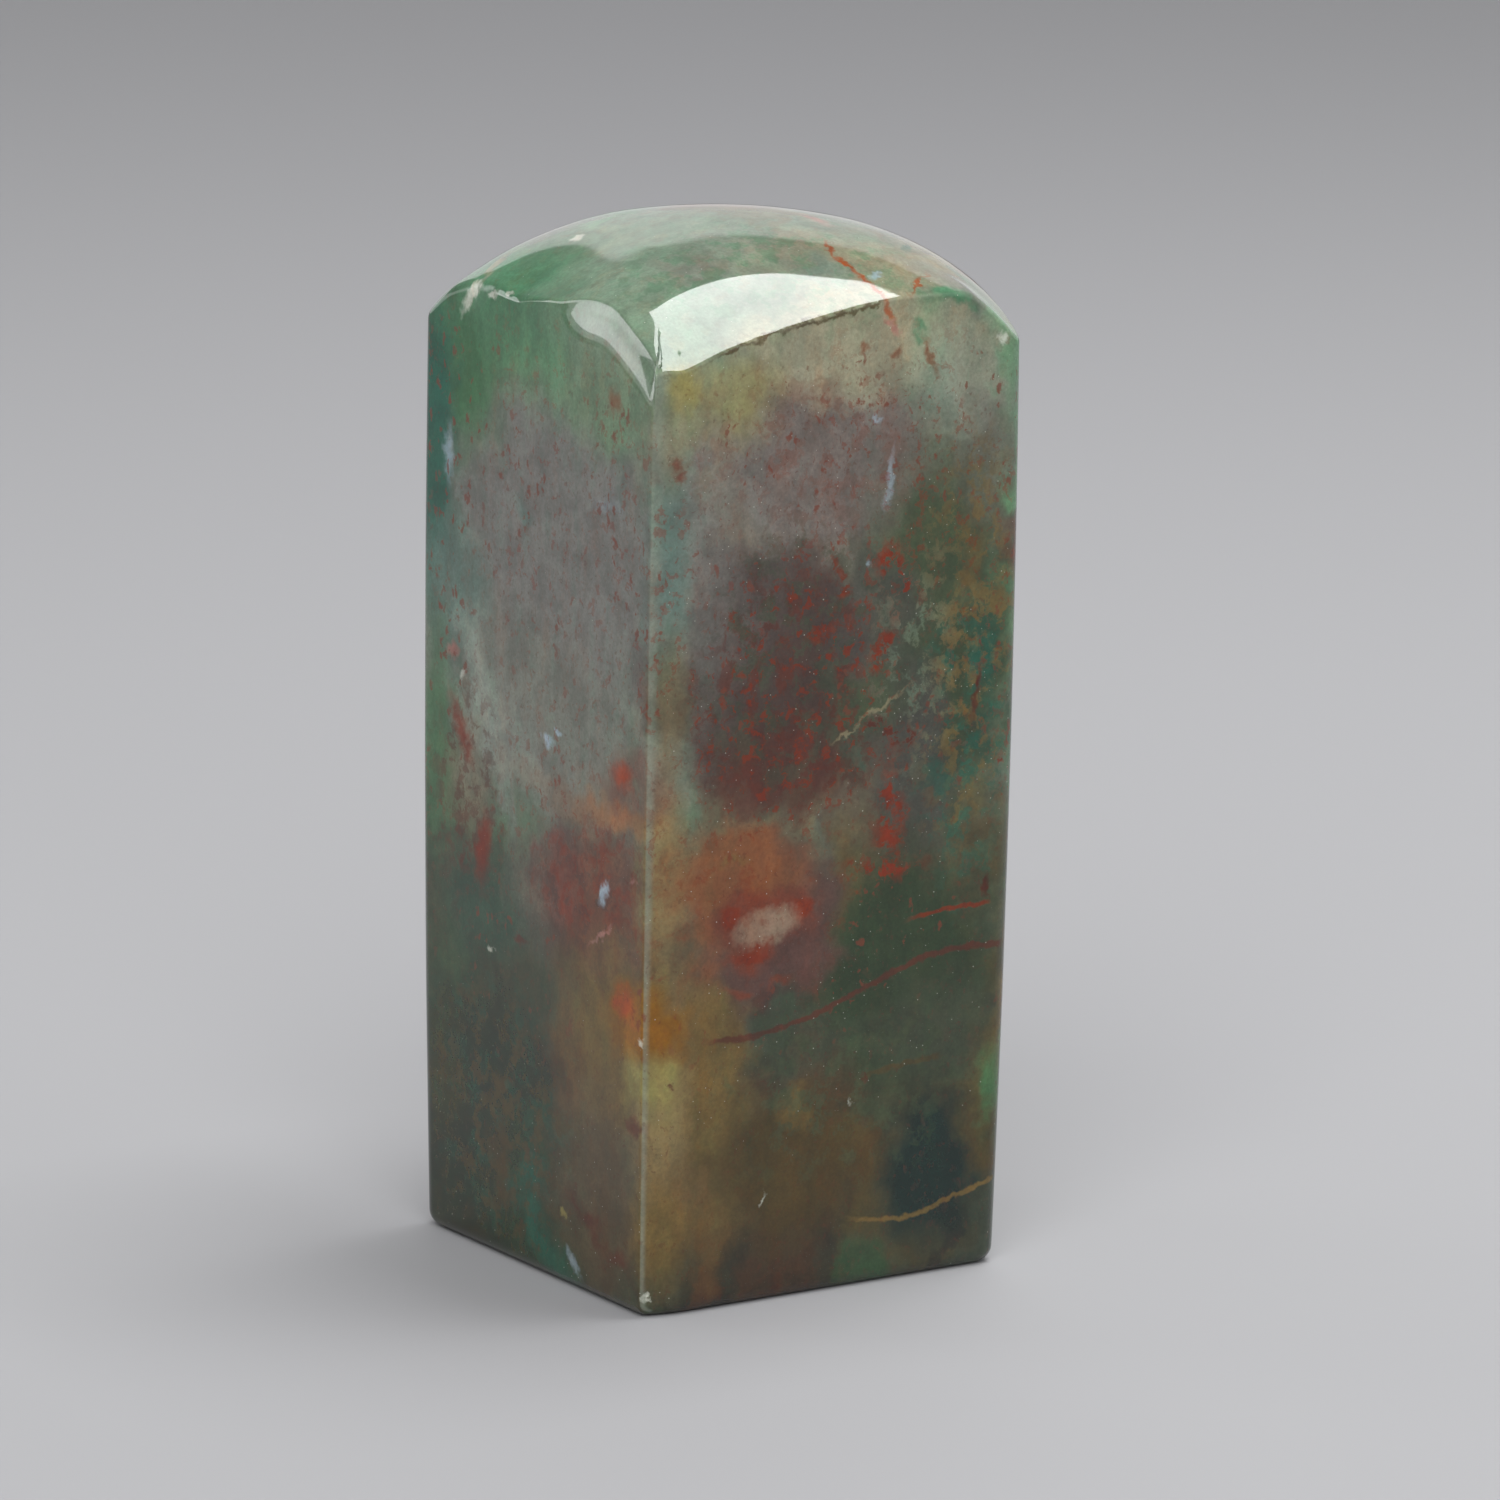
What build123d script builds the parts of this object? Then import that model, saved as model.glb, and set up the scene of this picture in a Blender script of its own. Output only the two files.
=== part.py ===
from build123d import *
import math
import os

# A blank seal: one square block of polished hardstone with a domed top, ground lower over two of its sides.
# It stands on its flat sealing face. The origin is the middle of that face and +Z runs up to the crown.

# Driving sizes, in millimetres
side = 25.0              # across the flats, the same both ways
height = 60.0            # from the sealing face to the top of the crown
crown_radius = 37.0      # the gentle curve over the middle of the crown
shoulder_radius = 18.0   # the tighter curve that falls from there to the four corners
shoulder_start = 6.5     # how far from the axis the tighter curve takes over
edge_radius = 1.6        # the four upright edges
rim_radius = 0.8         # the edge between the crown and the sides
foot_radius = 1.0        # the edge round the sealing face
flat_edge_radius = 0.4   # the edges of the two ground flats

# The dome's top is left alone, but a flat is ground over its -X side and another over its -Y side.
# Each flat lies in a leaning plane, which passes over the top of the crown on the stone's axis.
left_flat_rise = 1.7     # how far above the top that plane passes, on the -X side
right_flat_rise = 2.9    # the same on the -Y side

# In degrees: how steeply the flats fall, and towards where, counted from the -X side
left_flat_tilt = 24.7
left_flat_turn = 0.0
right_flat_tilt = 31.5
right_flat_turn = 74.0

# In degrees: where the seam of the turned crown comes, clear of the corners and of the sides' middles,
# so that no edge to be rounded is cut in two at a corner or at its highest point
seam_turn = 22.5


def square_block():
    """The sawn blank: a square bar with its upright edges already rounded."""
    return extrude(RectangleRounded(side, side, edge_radius), height)


def crown_body():
    """A round body as tall as the stone, whose top is the crown.

    Its half outline has two tangent arcs, like a dished tank end: the crown arc from the axis to
    shoulder_start, then the shoulder arc, which runs on until it stands upright. So the body is
    complete by itself, and the block's corners take as much of the shoulder as they reach.
    """
    crown_centre = Vector(0, 0, height - crown_radius)
    join_angle = math.asin(shoulder_start / crown_radius)
    join = point_on_arc(crown_centre, crown_radius, join_angle)
    shoulder_centre = point_on_arc(crown_centre, crown_radius - shoulder_radius, join_angle)
    upright_angle = math.pi / 2
    widest = point_on_arc(shoulder_centre, shoulder_radius, upright_angle)

    top = Vector(0, 0, height)
    crown_middle = point_on_arc(crown_centre, crown_radius, join_angle / 2)
    shoulder_middle = point_on_arc(shoulder_centre, shoulder_radius, (join_angle + upright_angle) / 2)
    below_widest = Vector(widest.X, 0, 0)
    outline = Curve() + [
        ThreePointArc(top, crown_middle, join),
        ThreePointArc(join, shoulder_middle, widest),
        Line(widest, below_widest),
        Line(below_widest, Vector(0, 0, 0)),
        Line(Vector(0, 0, 0), top),
    ]
    half_section = Rot(0, 0, seam_turn) * make_face(outline)
    return revolve(half_section, Axis.Z)


def ground_flat(body, rise, tilt, turn):
    """The body less all that stands above a leaning plane, as a flat grinding wheel leaves it."""
    wheel_width = 4 * side
    wheel = Box(wheel_width, wheel_width, height, align=(Align.CENTER, Align.CENTER, Align.MIN))
    return body - Pos(0, 0, height + rise) * Rot(0, 0, turn) * Rot(0, -tilt, 0) * wheel


def point_on_arc(centre, radius, angle):
    """A point of the half outline, at an angle from straight up, towards +X."""
    return centre + Vector(radius * math.sin(angle), 0, radius * math.cos(angle))


def seal_stone():
    """The block cut to the crown, its rim softened, its two flats ground after that, and the foot softened."""
    block = square_block()
    crown = crown_body()
    domed = block & crown
    domed = fillet(new_edges(block, crown, combined=domed), rim_radius)
    ground = ground_flat(domed, left_flat_rise, left_flat_tilt, left_flat_turn)
    ground = ground_flat(ground, right_flat_rise, right_flat_tilt, right_flat_turn)
    stone = fillet(new_edges(domed, combined=ground), flat_edge_radius)
    sealing_face = stone.faces().sort_by(Axis.Z)[0]
    return fillet(sealing_face.edges(), foot_radius)


def report_sizes(stone):
    """Print what was made, for a check against the real stone."""
    box = stone.bounding_box()
    print(f"box {box.size.X:.2f} x {box.size.Y:.2f} x {box.size.Z:.2f} mm")
    print(f"volume {stone.volume:.0f} mm3 in {len(stone.solids())} solid with {len(stone.faces())} faces")


os.makedirs("parts", exist_ok=True)
finished_stone = seal_stone()
finished_stone.label = "seal_stone"
report_sizes(finished_stone)
export_step(finished_stone, "parts/seal_stone.step")
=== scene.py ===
# %% [markdown]
# # A seal of polished bloodstone
# The real object is one block of bloodstone, a translucent green and grey quartz with red specks. It was
# sawn square, ground by hand to a domed top, and polished until it shines like glass.
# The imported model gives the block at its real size, with its origin in the middle of the sealing face and
# +Z up. Everything here is built in that frame, and the mesh code counts in millimetres.

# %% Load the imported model
import math

import bpy
import numpy as np
from mathutils import Matrix, Vector
from mathutils.bvhtree import BVHTree


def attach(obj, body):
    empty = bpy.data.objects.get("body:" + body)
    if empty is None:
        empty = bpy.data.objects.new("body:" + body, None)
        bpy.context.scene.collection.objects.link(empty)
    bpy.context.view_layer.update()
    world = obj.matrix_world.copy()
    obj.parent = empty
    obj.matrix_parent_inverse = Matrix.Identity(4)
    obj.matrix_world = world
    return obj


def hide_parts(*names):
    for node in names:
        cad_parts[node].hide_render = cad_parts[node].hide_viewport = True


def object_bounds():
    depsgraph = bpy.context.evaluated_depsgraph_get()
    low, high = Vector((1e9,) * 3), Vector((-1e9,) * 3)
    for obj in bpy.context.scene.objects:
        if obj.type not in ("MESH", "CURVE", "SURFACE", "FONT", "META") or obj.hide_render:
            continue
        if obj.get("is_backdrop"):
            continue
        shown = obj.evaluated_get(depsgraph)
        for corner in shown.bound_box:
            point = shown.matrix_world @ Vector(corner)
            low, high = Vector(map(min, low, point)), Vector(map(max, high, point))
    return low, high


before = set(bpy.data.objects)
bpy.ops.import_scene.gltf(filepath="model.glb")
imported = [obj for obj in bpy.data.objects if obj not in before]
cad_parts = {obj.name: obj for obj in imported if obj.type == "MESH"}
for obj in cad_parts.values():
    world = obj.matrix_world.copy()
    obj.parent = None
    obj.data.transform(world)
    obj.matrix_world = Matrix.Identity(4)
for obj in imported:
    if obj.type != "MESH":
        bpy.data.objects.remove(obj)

cad_low, cad_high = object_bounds()
MM = 0.001
stone_side = (cad_high.x - cad_low.x) / MM
stone_height = (cad_high.z - cad_low.z) / MM
print(f"The block measures {stone_side:.2f} mm across and {stone_height:.2f} mm tall.")

# %% [markdown]
# ## The camera
# A camera can be placed by eye, or worked out from the object's outline in the photograph. The outline of
# a square block fixes the view well, because its corners are known points, so it was worked out that way.
# The same numbers turn a pixel of the photograph into a ray, which later puts each patch of the stone's
# pattern where it belongs.

# %% Camera
photo_pixels = 1500
focal_pixels = 6500
sensor_width = 36
camera_place = np.array([-200.54, -303.03, 100.69])
camera_roll = math.radians(0.9)


def unit(vector):
    vector = np.array(vector, float)
    return vector / np.linalg.norm(vector)


looking = unit([0.5459, 0.8152, -0.1935])
level_right = unit(np.cross(looking, [0, 0, 1]))
level_up = np.cross(level_right, looking)
image_right = math.cos(camera_roll) * level_right + math.sin(camera_roll) * level_up
image_up = math.cos(camera_roll) * level_up - math.sin(camera_roll) * level_right

camera_data = bpy.data.cameras.new("photo_camera")
camera_data.sensor_width = sensor_width
camera_data.lens = sensor_width * focal_pixels / photo_pixels
camera = bpy.data.objects.new("photo_camera", camera_data)
bpy.context.scene.collection.objects.link(camera)
turn = Matrix(np.column_stack([image_right, image_up, -looking]).tolist()).to_4x4()
camera.matrix_world = Matrix.Translation(Vector(camera_place * MM)) @ turn
bpy.context.scene.camera = camera


def pixel_ray(pixel):
    """The direction from the camera through a pixel of the 1500 pixel square frame."""
    across = (pixel[0] - photo_pixels / 2) / focal_pixels
    down = (pixel[1] - photo_pixels / 2) / focal_pixels
    return unit(looking + across * image_right - down * image_up)


print(f"The lens is {camera_data.lens:.0f} mm, and the stone is {np.linalg.norm(camera_place):.0f} mm away.")

# %% [markdown]
# ## The block's outline
# A plan view of the stone is a square with three rounded corners. The fourth faces the camera and was
# ground again: a narrow strip leans about 14 degrees from the right face, sharp on its left and blended on
# its right. A bevel modifier would treat all corners alike, so every ring of the mesh is a sum of parts
# instead: one grows with the side, one with the corners' radius, and two with the strip's depth and width.
# The strip's own outline comes first, as two smooth bends with a straight between them.

# %% Front strip
corner_steps = 14
worn_edge = 0.22
worn_share = 0.10
blend_share = 0.45
blend_length = 1.0


def bend(first, middle, last, share):
    """A point of the smooth bend that leaves first towards middle and arrives at last from middle."""
    return (1 - share) ** 2 * first + 2 * share * (1 - share) * middle + share**2 * last


def strip_profile():
    """The front corner's points. Each has three rows: a constant, a share of the depth, one of the width."""
    edge = np.array([[0, 0], [0, 1], [0, 0]], float)
    before_edge = edge + [[0, worn_edge], [0, 0], [0, 0]]
    after_edge = np.array([[0, 0], [0, 1 - worn_share], [worn_share, 0]])
    before_blend = np.array([[0, 0], [0, blend_share], [1 - blend_share, 0]])
    blend = np.array([[0, 0], [0, 0], [1, 0]], float)
    after_blend = blend + [[blend_length, 0], [0, 0], [0, 0]]
    half = corner_steps // 2
    steps = np.arange(half) / (half - 1)
    profile = [bend(before_edge, edge, after_edge, step) for step in steps]
    profile.append((after_edge + before_blend) / 2)
    profile += [bend(before_blend, blend, after_blend, step) for step in steps]
    return np.array(profile)


print(f"The front strip has {len(strip_profile())} points.")

# %% [markdown]
# The whole ring goes round the four sides. Each point holds what it gains from the side, from the corners'
# radius and from the strip, so that one sum gives the ring for any height.

# %% Outline of one ring
flat_steps = 92
ring_steps = 4 * (flat_steps + corner_steps)


def outline_parts():
    """Three arrays for the ring's points: side_part, round_part, and strip_part with its three rows."""
    half_corner = corner_steps // 2
    profile = strip_profile()
    side_part = []
    round_part = []
    strip_part = []
    for quarter in range(4):
        normal = np.array([[0, -1], [1, 0], [0, 1], [-1, 0]][quarter])
        along = np.array([-normal[1], normal[0]])
        starts_at_strip = quarter == 0
        ends_at_strip = quarter == 3
        for step in range(flat_steps + corner_steps):
            on_corner = step < half_corner or step >= half_corner + flat_steps
            end = -1 if step < half_corner else 1
            at_strip = starts_at_strip and end < 0 or ends_at_strip and end > 0
            if on_corner and at_strip:
                place = step + half_corner if end < 0 else step - half_corner - flat_steps
                side_part.append(normal + end * along)
                round_part.append([0, 0])
                strip_part.append(profile[place])
            elif on_corner:
                past = half_corner - step if end < 0 else step - half_corner - flat_steps
                angle = past / corner_steps * math.pi / 2
                side_part.append(normal + end * along)
                round_part.append((math.cos(angle) - 1) * normal + end * (math.sin(angle) - 1) * along)
                strip_part.append(np.zeros((3, 2)))
            else:
                share = (step - half_corner) / flat_steps
                side_part.append(normal + (2 * share - 1) * along)
                round_start = 0 if starts_at_strip else 1 - share
                round_end = 0 if ends_at_strip else share
                round_part.append((round_start - round_end) * along)
                strip_start = (1 - share) * profile[-1] if starts_at_strip else 0
                strip_end = share * profile[0] if ends_at_strip else 0
                strip_part.append(np.zeros((3, 2)) + strip_start + strip_end)
    return np.array(side_part, float), np.array(round_part, float), np.array(strip_part)


side_part, round_part, strip_part = outline_parts()
print(f"Each ring has {ring_steps} points.")

# %% [markdown]
# ## The crown
# A lathe would give a perfect dome. This one was ground by hand: its back is a clean dome, but the two
# edges that face the camera are lower, and uneven. The dome comes first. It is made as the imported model's
# is, of two arcs that meet without a kink, so it can be a formula.

# %% Dome
belly_room = 0.066
top_half = stone_side / 2 - belly_room
crown_radius = 36.0
shoulder_radius = 17.42
shoulder_start = 6.94


def smooth(value):
    """0 under 0, 1 over 1, and a soft step between them."""
    value = np.clip(value, 0, 1)
    return value * value * (3 - 2 * value)


def dome_height(x, y):
    """The regular dome: a wide arc over the middle, and a tighter one from shoulder_start outwards."""
    out = np.hypot(x, y)
    sine = shoulder_start / crown_radius
    cosine = math.sqrt(1 - sine * sine)
    middle = np.sqrt(crown_radius**2 - np.minimum(out, crown_radius) ** 2) - crown_radius
    centre_out = shoulder_start - shoulder_radius * sine
    centre_up = crown_radius * cosine - crown_radius - shoulder_radius * cosine
    rest = np.sqrt(np.maximum(shoulder_radius**2 - (out - centre_out) ** 2, 0))
    return stone_height + np.where(out < shoulder_start, middle, centre_up + rest)


print(f"The dome is {dome_height(top_half, 0):.1f} mm up over the middle of a side.")

# %% [markdown]
# What was ground away in front is read off the edges in the photograph: each pixel of an edge is a ray, and
# where the ray meets the side of the block is the edge's true height. The back knots lead each edge on to
# where the dome was left alone.

# %% Edges ground lower
left_edge_pixels = [(518, 303.5), (560, 308), (607, 318.5), (628, 345), (648, 373)]
right_edge_pixels = [(664, 381), (684, 379), (702, 369), (748, 348), (776, 338), (810, 326),
                     (838, 317.5), (874, 308), (895, 303.5), (930, 300), (972, 299.4)]
back_knots = {0: [(6.0, -0.5), (9.0, 0.0)], 1: [(12.4, -0.2)]}
rim_lift = 0.3
line_reach = 16
line_step = 0.05
sharp_spread = 0.2
soft_spread = 2.2


def edge_drop(pixels, axis):
    """How far the crown's edge lies under the dome along one side: the places, a sharp table, a soft one."""
    places = []
    drops = []
    for pixel in pixels:
        ray = pixel_ray(pixel)
        reach = (-top_half - camera_place[axis]) / ray[axis]
        point = camera_place + reach * ray
        places.append(point[1 - axis])
        drops.append(point[2] + rim_lift - dome_height(point[0], point[1]))
    order = np.argsort(places)
    knots = np.concatenate([np.array(places)[order], [place for place, _ in back_knots[axis]]])
    values = np.concatenate([np.array(drops)[order], [drop for _, drop in back_knots[axis]]])
    line = np.arange(-line_reach, line_reach, line_step)
    table = np.interp(line, knots, values)
    return line, blurred(table, sharp_spread), blurred(table, soft_spread)


def blurred(table, spread):
    """The table smoothed over a spread in millimetres."""
    reach = np.arange(-3 * spread, 3 * spread + line_step, line_step)
    weights = np.exp(-((reach / spread) ** 2) / 2)
    padded = np.pad(table, len(reach) // 2, mode="edge")
    return np.convolve(padded, weights / weights.sum(), mode="valid")[: len(table)]


left_drop = edge_drop(left_edge_pixels, 0)
right_drop = edge_drop(right_edge_pixels, 1)
print(f"The left edge lies up to {-left_drop[1].min():.1f} mm under the dome, "
      f"and the right one {-right_drop[1].min():.1f} mm.")

# %% [markdown]
# Between the edges and the middle, the drop fades away. Near the front corner both edges have a say, each
# more where it is nearer.

# %% Crown height
grinding_reach = 9.5
soft_from = 2.5
least_distance = 1e-3


def drop_at(tables, place, inward):
    """The drop at a place along a side: sharp at the edge itself, and blurred further in."""
    line, sharp, soft = tables
    share = smooth(inward / soft_from)
    return (1 - share) * np.interp(place, line, sharp) + share * np.interp(place, line, soft)


def crown_height(x, y):
    """The height of the crown over a place of the plan, with the front ground lower."""
    from_left = np.maximum(x + top_half, least_distance)
    from_right = np.maximum(y + top_half, least_distance)
    left_share = from_right**2 / (from_left**2 + from_right**2)
    inward = from_left * from_right / np.hypot(from_left, from_right)
    ground = left_share * drop_at(left_drop, y, from_left)
    ground = ground + (1 - left_share) * drop_at(right_drop, x, from_right)
    return dome_height(x, y) + ground * (1 - smooth(inward / grinding_reach))


print(f"The front corner of the crown is {crown_height(-top_half, -top_half):.1f} mm up, "
      f"and the far one {crown_height(top_half, top_half):.1f} mm.")

# %% [markdown]
# ## The stone's mesh
# The skin is five bands: the sealing face, the softened foot, the sides, the rim and the crown. All but the
# two caps are rings, one above the other, and the block tapers a little and has a slight belly. So a ring
# depends on half the block's width and on its height, where the strip's depth and width are taken too.

# %% Ring at a height
corner_radius = 1.49
strip_depth = (0.57, 0.19)
strip_width = (2.13, 2.33)
base_taper = 0.30
belly = 0.165
belly_top = 52.7


def side_half(z):
    """Half the width of the block at a height: a little narrower at the foot, and fuller half way up."""
    share = np.clip(z / belly_top, 0, 1)
    return top_half - base_taper * (1 - share) + belly * 4 * share * (1 - share)


def ring_at(half, height, inset=0.0):
    """The outline of one ring. half and height may be one number, or one for each point."""
    half = np.broadcast_to(half, (ring_steps,))[:, None] - inset
    up = np.clip(np.broadcast_to(height, (ring_steps,))[:, None] / belly_top, 0, 1)
    depth = strip_depth[0] + (strip_depth[1] - strip_depth[0]) * up
    width = strip_width[0] + (strip_width[1] - strip_width[0]) * up
    shrink = 1 - inset * (depth + width - np.hypot(depth, width)) / (depth * width)
    strip = strip_part[:, 0] + shrink * (depth * strip_part[:, 1] + width * strip_part[:, 2])
    return half * side_part + (corner_radius - inset) * round_part + strip


top_outline = ring_at(top_half, belly_top)
print(f"The block is {2 * (top_half - base_taper):.2f} mm across at its foot, "
      f"and {np.ptp(top_outline[:, 0]):.2f} mm at its top.")

# %% [markdown]
# The rim is an arc in each point's own upright plane, tangent to the side below and to the crown above it.
# In front it is almost sharp, as a grinding wheel leaves it, and behind it is soft. The left face also rolls
# inwards just under its top edge. Angles round the ring are in degrees from +X.

# %% Rim
sharp_rim = 0.34
soft_rim = 1.0
rim_front = -118
sharp_within = 52
softens_over = 34
roll_depth = 0.45
roll_end = -1.0
roll_fade = 5
facing_from = 0.2
facing_fade = 0.6
probe = 0.4
around = np.degrees(np.arctan2(top_outline[:, 1], top_outline[:, 0]))
from_front = np.abs((around - rim_front + 180) % 360 - 180)
rim_radius = sharp_rim + (soft_rim - sharp_rim) * smooth((from_front - sharp_within) / softens_over)
tangent = np.roll(top_outline, -1, axis=0) - np.roll(top_outline, 1, axis=0)
tangent /= np.linalg.norm(tangent, axis=1)[:, None]
inward = np.column_stack([-tangent[:, 1], tangent[:, 0]])

facing_left = -inward @ [-1, 0]
on_left = smooth((roll_end - top_outline[:, 1]) / roll_fade)
on_left *= smooth((facing_left - facing_from) / facing_fade)
roll = roll_depth * on_left
rolled_outline = top_outline + roll[:, None] * inward
edge_height = crown_height(rolled_outline[:, 0], rolled_outline[:, 1])
inner_probe = rolled_outline + probe * inward
slope = np.arctan2(crown_height(inner_probe[:, 0], inner_probe[:, 1]) - edge_height, probe)
rim_turn = math.pi / 2 - slope
rim_tangent = rim_radius * np.tan(rim_turn / 2)
side_top = edge_height - rim_tangent
print(f"The rim's radius runs from {rim_radius.min():.2f} to {rim_radius.max():.2f} mm.")

# %% [markdown]
# The rings are stacked from the foot to the crown. Those of the rim are lifted a little at the end, so that
# the last one lies on the crown itself.

# %% Rings of points
foot_radius = 0.95
foot_steps = 7
side_rings = 96
rim_steps = 8
roll_reach = 3.0
rings = []
for step in range(foot_steps):
    angle = math.pi / 2 * step / foot_steps
    inset = foot_radius * (1 - math.sin(angle))
    height = foot_radius * (1 - math.cos(angle))
    rings.append(np.column_stack([ring_at(side_half(height), height, inset), np.full(ring_steps, height)]))
for step in range(side_rings + 1):
    share = step / side_rings
    height = foot_radius + (side_top - foot_radius) * share
    rolled = np.clip(1 - (side_top - height) / roll_reach, 0, 1) ** 2
    plan = ring_at(side_half(height), height) + (roll * rolled)[:, None] * inward
    rings.append(np.column_stack([plan, height]))
for step in range(1, rim_steps + 1):
    angle = rim_turn * step / rim_steps
    plan = rolled_outline + (rim_radius * (1 - np.cos(angle)))[:, None] * inward
    height = side_top + rim_radius * np.sin(angle)
    if step == rim_steps:
        crown_gap = crown_height(plan[:, 0], plan[:, 1]) - height
        rim_plan = plan
    rings.append(np.column_stack([plan, height]))
for step in range(1, rim_steps + 1):
    rings[step - rim_steps - 1][:, 2] += crown_gap * smooth(step / rim_steps)
print(f"{len(rings)} rings, with the rim between {side_top.min():.1f} and {side_top.max():.1f} mm up.")

# %% [markdown]
# ## Caps of quads
# A fan of long thin faces would spoil the highlights, so a cap is a square grid laid over the outline. Its
# outermost square takes the ring's own points, and the squares inside it turn evenly spaced within two
# millimetres, so that the crowded points of the corners make no streak across the crown. The crown's points
# then rise to its height, and the sealing face stays flat.

# %% Grid of a cap
cap_side = ring_steps // 4
even_within = 0.18
even_half = 12.2


def cap_points(boundary):
    """The grid's points inside the boundary ring, as an array of plan positions by row and column."""
    half = cap_side / 2
    grid = np.zeros((cap_side + 1, cap_side + 1, 2))
    index = np.zeros((cap_side + 1, cap_side + 1), int) - 1
    for row in range(cap_side + 1):
        for column in range(cap_side + 1):
            u = (column - half) / half
            v = (row - half) / half
            size = max(abs(u), abs(v))
            if size == 0:
                continue
            if v == -size:
                quarter, share = 0, u / size
            elif u == size:
                quarter, share = 1, v / size
            elif v == size:
                quarter, share = 2, -u / size
            else:
                quarter, share = 3, -v / size
            place = (quarter + (share + 1) / 2) * cap_side
            before = int(math.floor(place + 1e-9))
            part = place - before
            first = boundary[before % ring_steps]
            second = boundary[(before + 1) % ring_steps]
            even = smooth((1 - size) / even_within)
            from_ring = size * ((1 - part) * first + part * second)
            grid[row, column] = (1 - even) * from_ring + even * even_half * np.array([u, v])
            if size == 1:
                index[row, column] = before % ring_steps
    return grid, index


print(f"A cap's grid is {cap_side} quads a side.")

# %% [markdown]
# The sides are quads between one ring and the next, and the two caps close the skin. The crown's cap faces
# up, and the sealing face's down.

# %% Faces
points = [np.concatenate(rings)]
faces = []
for ring in range(len(rings) - 1):
    for step in range(ring_steps):
        after = (step + 1) % ring_steps
        low = ring * ring_steps
        high = low + ring_steps
        faces.append((low + step, low + after, high + after, high + step))


def add_cap(boundary, boundary_start, height_of, upward):
    """Fill a ring with the grid. Its outermost points are the ring's own."""
    grid, index = cap_points(boundary)
    start = sum(len(block) for block in points)
    inner = index < 0
    numbers = np.where(inner, 0, index + boundary_start)
    numbers[inner] = start + np.arange(inner.sum())
    flat = grid[inner]
    points.append(np.column_stack([flat, height_of(flat[:, 0], flat[:, 1])]))
    for row in range(cap_side):
        for column in range(cap_side):
            corners = [numbers[row, column], numbers[row, column + 1],
                       numbers[row + 1, column + 1], numbers[row + 1, column]]
            faces.append(tuple(corners if upward else corners[::-1]))


add_cap(rim_plan, (len(rings) - 1) * ring_steps, crown_height, True)
add_cap(rings[0][:, :2], 0, lambda x, y: np.zeros_like(x), False)
vertices = np.concatenate(points)

stone_mesh = bpy.data.meshes.new("polished_seal_stone")
stone_mesh.from_pydata(vertices.tolist(), [], faces)
stone_mesh.update()
print(f"The skin has {len(vertices)} points and {len(faces)} quads.")

# %% [markdown]
# ## Hand polish, chips and pits
# A felt wheel leaves the flats very slightly wavy, and the stone has a few small flaws: a healed crack on
# the crown's left shoulder, pits along the rims and a chip at the foot. A displace modifier would need a
# texture, so the points are moved here along their normals by a few sines and by small dents.

# %% Polish waves
normals = np.zeros(len(vertices) * 3, np.float32)
stone_mesh.vertices.foreach_get("normal", normals)
normals = normals.reshape(-1, 3).astype(float)
wave_depth = 0.012
waves_from = 1.0
waves_fade = 3
above_foot = smooth((vertices[:, 2] - waves_from) / waves_fade)


def polish_wave(p):
    """A slow, irregular wave between 0 and 1, about a centimetre from crest to crest."""
    first = np.sin(0.61 * p[:, 0] + 0.23 * p[:, 2] + 1.3) * np.sin(0.53 * p[:, 1] - 0.31 * p[:, 2])
    second = np.sin(0.47 * p[:, 2] + 0.35 * p[:, 0] - 0.4 * p[:, 1] + 0.7)
    return (first + second + 2) / 4


vertices -= normals * (wave_depth * above_foot * polish_wave(vertices))[:, None]
plain_tree = BVHTree.FromPolygons(vertices.tolist(), faces)
print(f"The polish waves {wave_depth} mm deep.")

# %% [markdown]
# Each flaw is a small dent: the pixel where it shows, its radius and its depth in millimetres.


# %% Dents
def surface_at(pixel):
    """The point of the stone that a pixel of the photograph shows, and the normal there."""
    place, normal, _, _ = plain_tree.ray_cast(Vector(camera_place), Vector(pixel_ray(pixel)))
    if place is None:
        raise ValueError(f"the stone isn't at pixel {pixel}")
    return np.array(place), np.array(normal)


dents = {
    "crack, low end": ((469, 307), 0.30, 0.10),
    "crack, middle": ((476, 290), 0.35, 0.12),
    "crack, high end": ((483, 277), 0.30, 0.08),
    "flake by the crack": ((491, 293), 0.30, 0.10),
    "second flake": ((509, 293), 0.20, 0.05),
    "scratch on the crown": ((577, 238), 0.22, 0.05),
    "pit on the right rim": ((742, 349), 0.22, 0.06),
    "second pit on the right rim": ((757, 341), 0.22, 0.06),
    "third pit on the right rim": ((786, 331), 0.20, 0.05),
    "chip at the right shoulder": ((1001, 337), 0.28, 0.08),
    "chip beside it": ((1008, 341), 0.22, 0.07),
    "chip at the foot": ((645, 1299), 0.30, 0.09),
}
for pixel, radius, depth in dents.values():
    place, normal = surface_at(pixel)
    away = np.linalg.norm(vertices - place, axis=1) / radius
    vertices -= normals * (depth * np.exp(-away * away))[:, None]
stone_mesh.vertices.foreach_set("co", (vertices * MM).astype(np.float32).ravel())
stone_mesh.polygons.foreach_set("use_smooth", np.ones(len(faces), bool))
stone_mesh.update()

stone = bpy.data.objects.new("seal_stone_polished", stone_mesh)
bpy.context.scene.collection.objects.link(stone)
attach(stone, "root")
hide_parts("seal_stone")
print(f"The skin has {len(dents)} dents.")
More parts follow.
